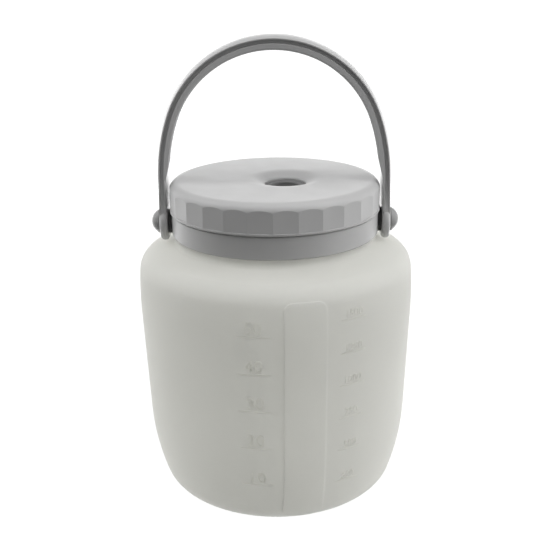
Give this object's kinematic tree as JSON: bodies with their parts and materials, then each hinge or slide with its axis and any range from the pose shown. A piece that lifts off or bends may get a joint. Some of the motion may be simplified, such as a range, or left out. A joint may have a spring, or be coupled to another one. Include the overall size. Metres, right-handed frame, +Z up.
{
  "type": "calf feeding bottle",
  "caption": "Wide-mouth translucent jar with a fluted screw lid, a round port in the lid, a level scale, and an arched bail handle on two pins.",
  "frame": {"origin": "middle of the base, on the surface the jar stands on", "axes": "+Z up; -Y is the front with the level strip and the scales; the handle pivots about X"},
  "size_m": [0.1412, 0.1416, 0.2359],
  "materials": {
    "jar_plastic": "satin, translucent natural polyethylene",
    "collar_plastic": "satin",
    "lid_plastic": "satin",
    "handle_plastic": "semi-gloss",
    "pin_plastic": "gloss",
    "washer_plastic": "matte",
    "ring_steel": "plain",
    "gasket_rubber": "matte silicone",
    "grommet_rubber": "matte silicone"
  },
  "bodies": {
    "jar": {"jar_body": "jar_plastic", "neck_collar": "collar_plastic", "pivot_pin_left": "pin_plastic", "pivot_pin_right": "pin_plastic", "spacer_washer_left": "washer_plastic", "spacer_washer_right": "washer_plastic", "retaining_ring_left": "ring_steel", "retaining_ring_right": "ring_steel"},
    "handle": {"bail_handle": "handle_plastic"},
    "seal": {"lid_gasket": "gasket_rubber"},
    "lid": {"screw_lid": "lid_plastic", "port_grommet": "grommet_rubber"}
  },
  "joints": [
    {"name": "handle_swing", "type": "hinge", "parent": "jar", "child": "handle", "pos_m": [0, 0, 0.1426], "axis": [1, 0, 0], "range_deg": [-98, 98]},
    {"name": "lid_lift", "type": "slide", "parent": "jar", "child": "seal", "axis": [0, 0, 1], "range_m": [0, 0.005]},
    {"name": "lid_turn", "type": "hinge", "parent": "seal", "child": "lid", "pos_m": [0, 0, 0.157], "axis": [0, 0, 1], "range_deg": [0, 360]}
  ],
  "couplings": [
    {"joint": "lid_lift", "follows": "lid_turn", "m_per_rad": 0.00079577}
  ]
}
